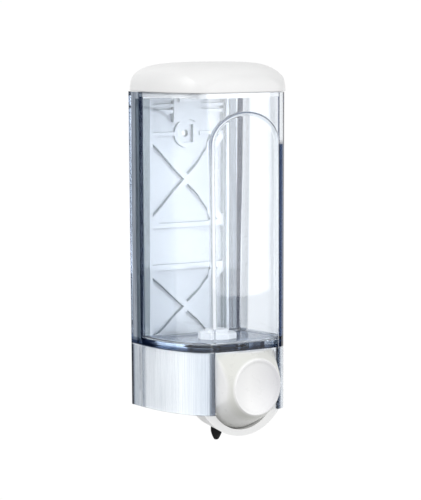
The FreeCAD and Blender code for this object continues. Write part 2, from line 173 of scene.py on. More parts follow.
def at_lengths(line, where):
    """Points at the given arc lengths of a polyline."""
    s = [0.0]
    for a, b in zip(line, line[1:]):
        s.append(s[-1] + math.dist(a, b))
    out, i = [], 0
    for w in where:
        w = min(max(w, 0.0), s[-1])
        while i < len(s) - 2 and s[i + 1] < w:
            i += 1
        while i > 0 and s[i] > w:
            i -= 1
        f = (w - s[i]) / max(s[i + 1] - s[i], 1e-9)
        a, b = line[i], line[i + 1]
        out.append((a[0] + (b[0] - a[0]) * f, a[1] + (b[1] - a[1]) * f))
    return out


def length(line):
    return sum(math.dist(a, b) for a, b in zip(line, line[1:]))


def smooth(t):
    t = min(max(t, 0.0), 1.0)
    return t * t * (3 - 2 * t)


side_line = spline(SIDE)
ARC_R = (SIDE[-1][0] ** 2 + BULGE ** 2) / (2 * BULGE)
ARC_C = SIDE[-1][1] - BULGE + ARC_R


def half_plan(d_of_y, y_start=None):
    """Side polyline up to the ridge and the ridge's point, moved inward; the front arc goes on from there."""
    out = []
    n = len(side_line)
    for i, (x, y) in enumerate(side_line):
        a, b = side_line[max(i - 1, 0)], side_line[min(i + 1, n - 1)]
        tx, ty = b[0] - a[0], b[1] - a[1]
        l = math.hypot(tx, ty)
        d = d_of_y(y)
        out.append((x + ty / l * d, y - tx / l * d))
    dd = d_of_y(-74.0)
    r = ARC_R - dd

    def gap(p):
        return p[1] - (ARC_C - math.sqrt(r * r - p[0] * p[0]))

    if gap(out[-1]) > 0:                      # moved outward: run on along the last tangent
        a, b = out[-2], out[-1]
        l = math.dist(a, b)
        k = 0
        while gap(out[-1]) > 0 and k < 400:
            out.append((out[-1][0] + (b[0] - a[0]) / l * 0.05, out[-1][1] + (b[1] - a[1]) / l * 0.05))
            k += 1
    cut = [out[0]]
    for a, b in zip(out, out[1:]):
        if gap(b) <= 0:
            f = gap(a) / (gap(a) - gap(b))
            cut.append((a[0] + (b[0] - a[0]) * f, a[1] + (b[1] - a[1]) * f))
            break
        cut.append(b)
    if y_start is not None:                   # start on a given y
        k = 0
        while cut[k + 1][1] > y_start:
            k += 1
        a, b = cut[k], cut[k + 1]
        f = (a[1] - y_start) / (a[1] - b[1])
        cut = [(a[0] + (b[0] - a[0]) * f, y_start)] + cut[k + 1:]
    return cut, r


FRONT_X = [28.55, 28.25, 27.98, WINDOW_X, 27.4, 27.15, 26.9, 26.6, 26.3, 26.0, 25.7, 25.4, 25.1, 24.8, 24.3] + [23.8 - 0.7 * k for k in range(0, 34)]
FRONT_X = [x for x in FRONT_X if x > 0.2] + [0.0]
FIL = 7


def columns(d_of_y, fil, tail=True, y_start=None, n_side=44):
    """Right half of the plan as one row of points, tail or back wall first, the middle of the front last."""
    side, r = half_plan(d_of_y, y_start)
    L = length(side)
    if tail:
        k = 0
        while side[k + 1][1] > BACK_WALL:
            k += 1
        a, b = side[k], side[k + 1]
        f = (a[1] - BACK_WALL) / (a[1] - b[1])
        lt = length(side[:k + 1]) + math.dist(a, b) * f
        where = [lt * i / 5 for i in range(5)] + [lt + (L - fil - lt) * i / n_side for i in range(n_side)]
    else:
        where = [(L - fil) * i / n_side for i in range(n_side)]
    pts = at_lengths(side, where)
    c = side[-1]
    p0 = at_lengths(side, [L - fil])[0]
    ang = math.asin(c[0] / r)
    a1 = ang - fil / r
    p1 = (r * math.sin(a1), ARC_C - r * math.cos(a1))
    for i in range(FIL):
        t = i / (FIL - 1)
        q = [(1 - t) ** 2 * p0[k] + 2 * t * (1 - t) * c[k] + t * t * p1[k] for k in range(2)]
        pts.append(tuple(q))
    scale = p1[0] / (SIDE[-1][0] - 0.95)
    for x in FRONT_X:
        X = x * min(scale, 1.0) if x > 20 else x
        pts.append((X, ARC_C - math.sqrt(r * r - X * X)))
    return pts


def arch_in(x, z):
    """Distance inside the raised panel's outline."""
    x = abs(x)
    if z <= ARCH_Z:
        return ARCH_A - x
    k = math.hypot(x / ARCH_A, (z - ARCH_Z) / ARCH_B)
    if k < 0.05:
        return ARCH_B
    g = math.hypot(x / ARCH_A ** 2, (z - ARCH_Z) / ARCH_B ** 2) / k
    return (1 - k) / g


def emboss(x, z):
    t = (arch_in(x, z) + BEVEL / 2) / BEVEL
    t = min(max(t, 0.0), 1.0)
    return PROUD * (0.45 * t + 0.55 * smooth(t))


def mirror_row(half):
    """Full row from the right tail over the front to the left tail."""
    return half + [(-x, y) for x, y in reversed(half[:-1])]


def place(half, z, d_front=True, share=1.0):
    out = []
    for x, y in half:
        e = emboss(x, z) * share if (y < -70.0 and abs(x) < 29.4) else 0.0
        out.append((x * sx(z), (y - e) * sy(z), z))
    return out


def both(half, z, share=1.0):
    r = place(half, z, share=share)
    return r + [(-x, y, zz) for x, y, zz in reversed(r[:-1])]


# ------------------------------------------------------------------ clear tank with its skirt
def circle(r, x, y, z, n=48):
    return [(x + r * math.cos(2 * math.pi * i / n), y + r * math.sin(2 * math.pi * i / n), z) for i in range(n)]


def build_tank():
    S = Shell()
    outer = columns(lambda y: 0.0, 1.4)
    inner = columns(lambda y: WALL + (SKIRT - WALL) * smooth((BACK_WALL - y) / 9.0), 1.0)
    n_half = len(outer)
    n_full = 2 * n_half - 1
    iw = n_half - len(FRONT_X) + FRONT_X.index(WINDOW_X)       # column of the window's jamb
    jw = n_full - 1 - iw
    z_win = -66.3
    zs_low = [Z_SKIRT, -108.1] + [Z_SKIRT + 1.2 + (z_win - Z_SKIRT - 1.2) * k / 9 for k in range(10)]
    zs_up = [-66.0, -64.0, -62.0] + [-62 + 128.0 * k / 26 for k in range(1, 27)] + [66.0 + 0.6 * k for k in range(1, 50)] + [98.0, 101.0, 104.2, Z_TOP]
    # outside
    low_out = [S.add(both(outer, z, 0.0)) for z in zs_low]
    for k, z in enumerate(zs_low):
        if z > -72:
            for i, (x, y, zz) in zip(low_out[k], both(outer, z, smooth((z + 72) / 5.7))):
                S.v[i] = (x, y, zz)
    # points of the lower edge
    e0 = [S.v[i] for i in low_out[0]]
    up_out = [S.add(both(outer, z)) for z in zs_up]
    for a, b in zip(low_out, low_out[1:]):
        S.strip(a[:iw + 1], b[:iw + 1])
        S.strip(a[jw:], b[jw:])
    S.strip(low_out[-1], up_out[0])
    S.grid(up_out)
    # inside of the skirt
    zs_in = [Z_SKIRT, -108.1] + zs_low[2:]
    low_in = [S.add(both(inner, z, 0.0)) for z in zs_in]
    top_in = S.add(both(inner, Z_UNDER, 0.0))
    for a, b in zip(low_in, low_in[1:]):
        S.strip(a[:iw + 1], b[:iw + 1])
        S.strip(a[jw:], b[jw:])
    S.strip(low_in[-1], top_in)
    # bottom rim, window head and jambs
    S.strip(low_out[0][:iw + 1], low_in[0][:iw + 1])
    S.strip(low_out[0][jw:], low_in[0][jw:])
    S.strip(low_out[-1][iw:jw + 1], low_in[-1][iw:jw + 1])
    for c in (iw, jw):
        S.strip([r[c] for r in low_out], [r[c] for r in low_in])
    # tails: inner side up to the top, and their rear faces
    rail = [(RAIL_X, y) for x, y in inner[:6]]
    t_in = [S.add([(x, y * sy(z), z) for x, y in rail] + [(-x, y * sy(z), z) for x, y in reversed(rail)]) for z in [Z_UNDER] + zs_up[1:]]
    for a, b in zip(t_in, t_in[1:]):
        S.strip(a[:6], b[:6])
        S.strip(a[6:], b[6:])
        S.strip([a[5], a[6]], [b[5], b[6]])                    # channel's front face
    for c_out, c_in, c_t in ((0, 0, 0), (n_full - 1, n_full - 1, 11)):
        S.strip([r[c_out] for r in low_out], [r[c_in] for r in low_in])
        S.f.append((low_out[-1][c_out], up_out[0][c_out], top_in[c_in], low_in[-1][c_in]))
        S.f.append((up_out[0][c_out], up_out[1][c_out], t_in[1][c_t], t_in[0][c_t], top_in[c_in]))
        S.strip([r[c_out] for r in up_out[1:]], [r[c_t] for r in t_in[1:]])
    # soap space
    cav = columns(lambda y: WALL, 1.2, tail=False, y_start=BACK_WALL - WALL)
    fr = 3.0
    ring_rows = []
    for k in range(7):
        a = math.pi / 2 * k / 6
        ring_rows.append((Z_FLOOR + fr * (1 - math.cos(a)), fr * (1 - math.sin(a))))
    zs_cav = [r[0] for r in ring_rows] + [z for z in zs_up if z > Z_FLOOR + fr + 1.0]
    ins = [r[1] for r in ring_rows] + [0.0] * (len(zs_cav) - len(ring_rows))
    rows = []
    for z, d in zip(zs_cav, ins):
        half = []
        for x, y in cav:
            # the fillet draws the plan towards its middle
            cx, cy = 0.0, -42.0
            l = math.hypot(x - cx, y - cy)
            k = 1 - d / l
            half.append((cx + (x - cx) * k, cy + (y - cy) * k))
        r = []
        for x, y in half:
            e = 0.0
            r.append((x * sx(z), (y - e) * sy(z), z))
        full = r + [(-x, y, zz) for x, y, zz in reversed(r[:-1])]
        rows.append(S.add(full))
    S.grid(rows, closed=True)
    # top rim
    top_loop = up_out[-1] + [t_in[-1][11 - k] for k in range(0, 12)]
    S.fill(top_loop, rows[-1])
    # floor, both sides, with the outlet's hole
    h_top = S.add(circle(8.3, 0, PUMP_Y, Z_FLOOR))
    h_bot = S.add(circle(8.3, 0, PUMP_Y, Z_UNDER))
    S.strip(h_top, h_bot, closed=True)
    S.fill(rows[0], h_top)
    bosses = []
    for x, y in [(-27.0, -24.0), (27.0, -24.0), (-32.0, -45.0), (32.0, -45.0)]:
        a = S.add(circle(3.6, x, y, Z_UNDER, 24)); b = S.add(circle(3.6, x, y, -77.8, 24))
        c = S.add(circle(1.5, x, y, -77.8, 24)); d = S.add(circle(1.5, x, y, -69.0, 24))
        S.strip(a, b, closed=True); S.strip(b, c, closed=True); S.strip(c, d, closed=True)
        e = S.add([(x, y, -69.0)])
        S.fan(e[0], d)
        bosses.append(a)
    under = top_in + [t_in[0][11 - k] for k in range(12)]
    S.fill(under, h_bot, *bosses)
    return S.make("clear_tank", 34)


tank = build_tank()
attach(tank, "reservoir")
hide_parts("reservoir_shell")


# ------------------------------------------------------------------ lid
LID_BASE = [(43.5, -0.6), (45.1, -14.0), (46.1, -28.0), (45.8, -40.0), (43.4, -53.0), (39.2, -65.0), (34.9, -70.9), (29.7, -73.9)]
LID_STEPS = [(0.0, 0.0), (5.0, 0.3), (9.0, 1.2), (12.0, 2.6), (14.5, 4.8), (16.5, 7.8), (18.0, 12.0), (19.0, 18.0), (19.4, 24.0)]


def lid_half(ins, fil, rear=5.5, over=0.75):
    line = spline(LID_BASE)
    ins = ins - over
    fx, fy = (46.1 - ins) / 46.1, (37.5 - ins) / 37.5
    cy = -36.0
    side = [(x * fx, min(cy + (y - cy) * fy, -0.6)) for x, y in line]
    r_x = side[-1][0]
    R = (r_x ** 2 + BULGE ** 2) / (2 * BULGE)
    C = side[-1][1] - BULGE + R
    L = length(side)
    f = min(fil, L * 0.45, r_x * 0.85)
    rr = min(rear + ins * 0.9, side[0][0] * 0.6) if ins > -0.8 else rear
    # rear corner: from the middle of the back, round, then along the side
    y0 = side[0][1]
    back = [(side[0][0] * k / 14.0 * (1 - rr / side[0][0]), y0) for k in range(14)]
    q0, qc, q1 = (side[0][0] - rr, y0), side[0], at_lengths(side, [rr])[0]
    pts = list(back)
    for i in range(9):
        t = i / 8
        pts.append(tuple((1 - t) ** 2 * q0[k] + 2 * t * (1 - t) * qc[k] + t * t * q1[k] for k in range(2)))
    m = 46
    pts += at_lengths(side, [rr + (L - f - rr) * i / m for i in range(1, m)])
    c = side[-1]
    p0 = at_lengths(side, [L - f])[0]
    ang = math.asin(r_x / R)
    a1 = ang - f / R
    p1 = (R * math.sin(a1), C - R * math.cos(a1))
    for i in range(17):
        t = i / 16
        pts.append(tuple((1 - t) ** 2 * p0[k] + 2 * t * (1 - t) * c[k] + t * t * p1[k] for k in range(2)))
    for i in range(1, 21):
        X = p1[0] * (1 - i / 20)
        pts.append((X, C - math.sqrt(R * R - X * X)))
    return pts


def full_loop(half):
    """Closed loop from a half that starts and ends on the middle plane."""
    return half + [(-x, y) for x, y in reversed(half[1:-1])]


def lid_profile(h):
    for (h0, i0), (h1, i1) in zip(LID_STEPS, LID_STEPS[1:]):
        if h <= h1:
            return i0 + (i1 - i0) * (h - h0) / (h1 - h0)
    return LID_STEPS[-1][1]


def build_lid():
    S = Shell()
    z0 = Z_TOP + 0.4
    prof = spline([(i, h) for h, i in LID_STEPS], 6)
    rings = []
    # small rounding at the lower edge
    low = [(0.55, 0.0), (0.22, 0.12), (0.05, 0.38), (0.0, 0.8)]
    for ins, h in low:
        rings.append((h, ins))
    for i, h in prof:
        if h > 1.6:
            rings.append((h, max(i, 0.0)))
    loops = []
    for h, ins in rings:
        fil = 3.4 + 16.0 * smooth((h - 2.5) / 14.0)
        loops.append(S.add([(x, y, z0 + h) for x, y in full_loop(lid_half(ins, fil))]))
    S.grid(loops, closed=True)
    # crown: a few more rings to the middle
    last = [S.v[i] for i in loops[-1]]
    h_last = rings[-1][0]
    prev = loops[-1]
    cy = sum(p[1] for p in last) / len(last)
    for k in (0.8, 0.6, 0.4, 0.2):
        hh = h_last + 0.4 * (1 - k * k)
        cur = S.add([(x * k, cy + (y - cy) * k, z0 + hh) for x, y, z in last])
        S.strip(prev, cur, closed=True)
        prev = cur
    tip = S.add([(0, cy, z0 + h_last + 0.4)])
    S.fan(tip[0], prev)
    # underside: ring that plugs the tank, hollow crown behind it
    def ring(d, z, back):
        c = columns(lambda y: d, 1.2, tail=False, y_start=back, n_side=30)
        r = [(x * sx(z), y, z) for x, y in c]
        return S.add(r + [(-x, y, zz) for x, y, zz in reversed(r[:-1])])
    ro0, ro1, ro2 = ring(2.87, z0, BACK_WALL - 2.87), ring(2.87, z0 - 3.1, BACK_WALL - 2.87), ring(3.2, z0 - 3.6, BACK_WALL - 3.2)
    ri2, ri1 = ring(4.2, z0 - 3.6, BACK_WALL - 4.2), ring(4.5, z0 - 3.2, BACK_WALL - 4.5)
    ri0 = ring(4.5, z0 + 1.8, BACK_WALL - 4.5)
    S.grid([ro0, ro1, ro2, ri2, ri1, ri0], closed=True)
    slot0 = S.add([(-9.2, -10.6, z0), (9.2, -10.6, z0), (9.2, -7.4, z0), (-9.2, -7.4, z0)])
    slot1 = S.add([(-9.2, -10.6, z0 + 12.2), (9.2, -10.6, z0 + 12.2), (9.2, -7.4, z0 + 12.2), (-9.2, -7.4, z0 + 12.2)])
    S.strip(slot0, slot1, closed=True)
    S.f.append(tuple(slot1))
    S.fill(loops[0], ro0, slot0)
    # hollow: only in front of the latch's slot
    hol = []
    for k, (h, ins) in enumerate([(1.8, 5.2), (6.0, 5.6), (10.0, 7.0), (13.0, 9.6), (15.0, 13.5), (16.2, 19.0)]):
        half = [(x, min(y, BACK_WALL - 4.9)) for x, y in lid_half(ins, 6.0)]
        hol.append(S.add([(x, y, z0 + h) for x, y in full_loop(half)]))
    S.fill(hol[0], ri0)
    S.grid(hol, closed=True)
    c = S.add([(0, -38.0, z0 + 16.6)])
    S.fan(c[0], hol[-1])
    return S.make("lid_shell", 40)


lid = build_lid()
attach(lid, "lid")
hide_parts("lid")


# ------------------------------------------------------------------ push lever
def smin(a, b, k):
    h = min(max(0.5 + 0.5 * (b - a) / k, 0.0), 1.0)
    return b + (a - b) * h - k * h * (1 - h)


def u_radius(phi, y, inset=0.0):
    """Distance from the pad's axis to the drafted U outline, in direction phi (0 = right, up = 90 degrees)."""
    u = min(max((-68.0 - y) / 21.6, 0.0), 1.0)
    hw = LEVER_HW - 4.2 * u - inset
    R = LEVER_R - 6.5 * u - inset
    cz = LEVER_CZ + 3.2 * u
    zt = LEVER_TOP - inset
    c, s = math.cos(phi), math.sin(phi)
    # round bottom about (0, cz), and the straight sides
    d = PAD_Z - cz
    b = d * s
    r = -b + math.sqrt(max(b * b - d * d + R * R, 0.0))
    rs = hw / max(abs(c), 1e-4)
    if s > 0:
        r = rs
    elif rs < r + 3:
        r = smin(r, rs, 1.2)
    if s > 1e-6:
        rt = (zt - PAD_Z) / s
        r = smin(r, rt, 3.2) if rt < r + 6 else r
    return r


def cone_radius(y, shift=0.0):
    return PAD_R + (y - PAD_Y - shift) / CONE


def lever_back(x, z):
    """Where the lever's walls end behind."""
    if z <= -72.6:
        return -64.0
    if abs(x) < 22.3:
        return -74.2
    t = smooth((z + 72.6) / 5.2)
    return -64.0 + (-69.2 + 64.0) * t


def build_lever():
    S = Shell()
    n = 240
    phis = [2 * math.pi * (i + 0.5) / n for i in range(n)]
    # more columns at the upper corners
    extra = []
    for a0 in (math.atan2(22.0, 22.3), math.pi - math.atan2(22.0, 22.3)):
        for d in (-0.012, -0.004, 0.004, 0.012):
            extra.append(a0 + d)
    phis = sorted(phis + extra)
    rows_out = []
    # dish: shallow bowl with a soft lip
    depth = 2.3
    rad = [0.0, 2, 4, 6, 8, 10, 12, 13.5, 14.8, 15.8, 16.6, 17.2, 17.6, 17.95, 18.25, 18.5]

    def dish(r):
        y = PAD_Y + depth * (1 - (r / 18.0) ** 2) if r < 18.0 else PAD_Y
        return y

    centre = S.add([(0, PAD_Y + depth, PAD_Z)])[0]
    for r in rad[1:]:
        y = dish(r)
        if r > 16.4:                          # lip rolls over
            t = (r - 16.4) / (18.5 - 16.4)
            y = dish(16.4) + (PAD_Y - 0.32 - dish(16.4)) * (1 - (1 - t) ** 2) if t <= 1 else y
        rows_out.append(S.add([(r * math.cos(p), y, PAD_Z + r * math.sin(p)) for p in phis]))
    # outside behind the lip
    ys = [-89.28, -89.15, -88.9, -88.5, -88.0, -87.4, -86.7, -86.0, -85.3, -84.6, -83.8, -83.0, -82.2, -81.4, -80.6, -79.8, -79.0,
          -78.0, -77.0, -76.0, -75.2, -74.2, -73.0, -71.5, -70.0, -68.5, -67.0, -65.5, -64.0]
    def outside(p, y):
        rc = cone_radius(max(y, -89.0)) - (0.0 if y >= -89.0 else 0.12 * ((-89.0 - y) / 0.28) ** 2)
        if y < -88.2:
            rc -= 0.10 * ((-88.2 - y) / 1.08) ** 2
        return smin(rc, u_radius(p, y), 1.6)

    for y in ys:
        row = []
        for p in phis:
            yy = y
            r = outside(p, yy)
            for _ in range(2):
                b = lever_back(r * math.cos(p), PAD_Z + r * math.sin(p))
                if y > b:
                    yy = b
                    r = outside(p, yy)
            row.append((r * math.cos(p), yy, PAD_Z + r * math.sin(p)))
        rows_out.append(S.add(row))
    S.fan(centre, rows_out[0])
    S.grid(rows_out, closed=True)
    # inside
    rows_in = []
    ys_in = list(reversed([y for y in ys if y > -83.9]))

    def inside(p, y):
        rc = cone_radius(y, 4.0)
        return max(min(rc, u_radius(p, y) - LEVER_WALL), 3.0)

    for y in ys_in:
        row = []
        for p in phis:
            ro = outside(p, y)
            b = lever_back(ro * math.cos(p), PAD_Z + ro * math.sin(p))
            yy = min(y, b)
            r = inside(p, yy)
            row.append((r * math.cos(p), yy, PAD_Z + r * math.sin(p)))
        rows_in.append(S.add(row))
    # front inside: flat, with the pusher's boss
    last = [S.v[i] for i in rows_in[-1]]
    for k in (0.97, 0.9, 0.8, 0.7, 0.6, 0.5, 0.42, 0.36, 0.3, 0.24, 0.18, 0.12, 0.06):
        row = []
        for x, y, z in last:
            X, Z = x * k, PAD_Z + (z - PAD_Z) * k
            q = math.hypot(X, Z + 93.4)
            Y = -84.6 + 0.85 * smooth((4.0 - q) / 0.8)
            row.append((X, Y if k < 0.95 else -84.4, Z))
        rows_in.append(S.add(row))
    S.strip(rows_out[-1], rows_in[0], closed=True)
    S.grid(rows_in, closed=True)
    c = S.add([(0, -84.6 + 0.85 * smooth((4.0 - 4.1) / 0.8), PAD_Z)])
    S.fan(c[0], rows_in[-1])
    return S.make("push_lever_shell", 50)


lever = build_lever()
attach(lever, "lever")
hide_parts("push_lever")


# ------------------------------------------------------------------ rubber nozzle
def build_nozzle():
    S = Shell()
    n = 64
    prof = [(5.55, -111.05), (5.6, -111.3), (5.6, -112.3), (5.4, -112.6), (4.0, -112.7), (3.8, -113.0), (3.8, -119.0), (3.85, -122.0), (3.9, -125.0),
            (3.82, -125.9), (3.6, -126.7), (3.2, -127.7), (2.7, -128.8), (2.15, -129.9), (1.6, -130.8), (1.2, -131.3), (0.75, TIP_Z)]
    rows = []
    for r, z in prof:
        t = smooth((-126.0 - z) / 5.5)
        row = []
        for i in range(n):
            a = 2 * math.pi * i / n
            x, y = r * math.cos(a), r * math.sin(a)
            # the bill flattens front to back towards its slit
            x *= 1 + 0.25 * t
            y *= 1 - 0.4 * t
            row.append((x, PUMP_Y + y, z))
        rows.append(S.add(row))
    inner = [(0.3, TIP_Z), (0.9, -130.2), (1.9, -127.5), (2.4, -125.0), (2.4, -111.05)]
    for r, z in inner:
        t = smooth((-126.0 - z) / 5.5)
        row = []
        for i in range(n):
            a = 2 * math.pi * i / n
            row.append((r * math.cos(a) * (1 + 0.8 * t), PUMP_Y + r * math.sin(a) * (1 - 0.55 * t), z))
        rows.append(S.add(row))
    S.grid(rows, closed=True)
    S.strip(rows[-1], rows[0], closed=True)
    return S.make("rubber_nozzle", 35)


nozzle = build_nozzle()
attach(nozzle, "reservoir")
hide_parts("outlet_nozzle")

# ------------------------------------------------------------------ springs, copied from the parts and parented to their bodies
def live_spring(name, node, body, axis, fixed_high):
    piece = bpy.data.objects.new(name, N[node].data.copy())
    bpy.context.scene.collection.objects.link(piece)
    lo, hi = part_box(node)
    a = [(l + h) / 2 for l, h in zip(lo, hi)]
    a[axis] = hi[axis] if fixed_high else lo[axis]
    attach(piece, body)
    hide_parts(node)
    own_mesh(piece)
    return piece


springs = [
    live_spring("return_coil", "return_spring", "reservoir", 1, True),
    live_spring("inlet_coil", "inlet_spring", "reservoir", 2, False),
    live_spring("latch_coil", "latch_spring", "lid", 2, True),
]

# ------------------------------------------------------------------ materials
def new_mat(name):
    m = bpy.data.materials.new(name)
    m.use_nodes = True
    nt = m.node_tree
    nt.nodes.clear()
    out = nt.nodes.new("ShaderNodeOutputMaterial")
    p = nt.nodes.new("ShaderNodeBsdfPrincipled")
    nt.links.new(p.outputs[0], out.inputs["Surface"])
    return m, nt, p, out


def coords(nt, scale=(1, 1, 1)):
    tc = nt.nodes.new("ShaderNodeTexCoord")
    mp = nt.nodes.new("ShaderNodeMapping")
    mp.inputs["Scale"].default_value = scale
    nt.links.new(tc.outputs["Object"], mp.inputs["Vector"])
    return mp.outputs[0]


def noise(nt, vec, scale, detail=2.0, rough=0.5):
    n = nt.nodes.new("ShaderNodeTexNoise")
    n.inputs["Scale"].default_value = scale
    n.inputs["Detail"].default_value = detail
    n.inputs["Roughness"].default_value = rough
    nt.links.new(vec, n.inputs["Vector"])
    return n.outputs["Fac"]


def ramp(nt, fac, stops):
    r = nt.nodes.new("ShaderNodeValToRGB")
    el = r.color_ramp.elements
    while len(el) > 1:
        el.remove(el[-1])
    el[0].position, el[0].color = stops[0][0], (*stops[0][1], 1)
    for pos, col in stops[1:]:
        e = el.new(pos)
        e.color = (*col, 1)
    nt.links.new(fac, r.inputs[0])
    return r.outputs[0]


def map_range(nt, v, a, b, c, d):
    m = nt.nodes.new("ShaderNodeMapRange")
    m.inputs["From Min"].default_value = a
    m.inputs["From Max"].default_value = b
    m.inputs["To Min"].default_value = c
    m.inputs["To Max"].default_value = d
    nt.links.new(v, m.inputs["Value"])
    return m.outputs[0]


def bump(nt, p, height, strength, dist):
    b = nt.nodes.new("ShaderNodeBump")
    b.inputs["Strength"].default_value = strength
    b.inputs["Distance"].default_value = dist
    nt.links.new(height, b.inputs["Height"])
    nt.links.new(b.outputs[0], p.inputs["Normal"])
    return b


def moulded(name, c0, c1, r0, r1, grain=2600.0, wave=55.0, depth=0.00006, spec=0.5, sss=0.0):
    """Opaque injection moulded plastic: faint flow clouds, fine grain, uneven gloss."""
    m, nt, p, out = new_mat(name)
    v = coords(nt)
    clouds = noise(nt, v, wave, 3.0, 0.55)
    fine = noise(nt, v, grain, 2.0, 0.6)
    nt.links.new(ramp(nt, clouds, [(0.3, c0), (0.7, c1)]), p.inputs["Base Color"])
    nt.links.new(map_range(nt, noise(nt, v, wave * 3.1, 4.0, 0.6), 0.3, 0.7, r0, r1), p.inputs["Roughness"])
    p.inputs["Specular IOR Level"].default_value = spec
    if sss:
        p.inputs["Subsurface Weight"].default_value = sss
        p.inputs["Subsurface Radius"].default_value = (1.0, 0.9, 0.8)
        p.inputs["Subsurface Scale"].default_value = 0.002
    mx = nt.nodes.new("ShaderNodeMath")
    mx.operation = "MULTIPLY_ADD"
    nt.links.new(noise(nt, v, wave * 6.0, 2.0, 0.5), mx.inputs[0])
    mx.inputs[1].default_value = 1.5
    nt.links.new(fine, mx.inputs[2])
    bump(nt, p, mx.outputs[0], 0.35, depth)
    return m


BASE_CLEAR = (0.935, 0.955, 0.978)


def plug(nt, sock, v):
    if isinstance(v, (int, float)):
        sock.default_value = v
    elif isinstance(v, tuple):
        sock.default_value = (*v, 1)
    else:
        nt.links.new(v, sock)


def op(nt, kind, a, b=None):
    n = nt.nodes.new("ShaderNodeMath")
    n.operation = kind
    plug(nt, n.inputs[0], a)
    if b is not None:
        plug(nt, n.inputs[1], b)
    return n.outputs[0]


def step(nt, v, lo, hi):
    return map_range(nt, v, lo, hi, 0.0, 1.0)


def rgb_mix(nt, kind, f, a, b):
    n = nt.nodes.new("ShaderNodeMix")
    n.data_type, n.blend_type = "RGBA", kind
    plug(nt, n.inputs[0], f)
    plug(nt, n.inputs[6], a)
    plug(nt, n.inputs[7], b)
    return n.outputs[2]


def blend(nt, f, a, b):
    return rgb_mix(nt, "MIX", f, a, b)


def times(nt, a, b):
    return rgb_mix(nt, "MULTIPLY", 1.0, a, b)


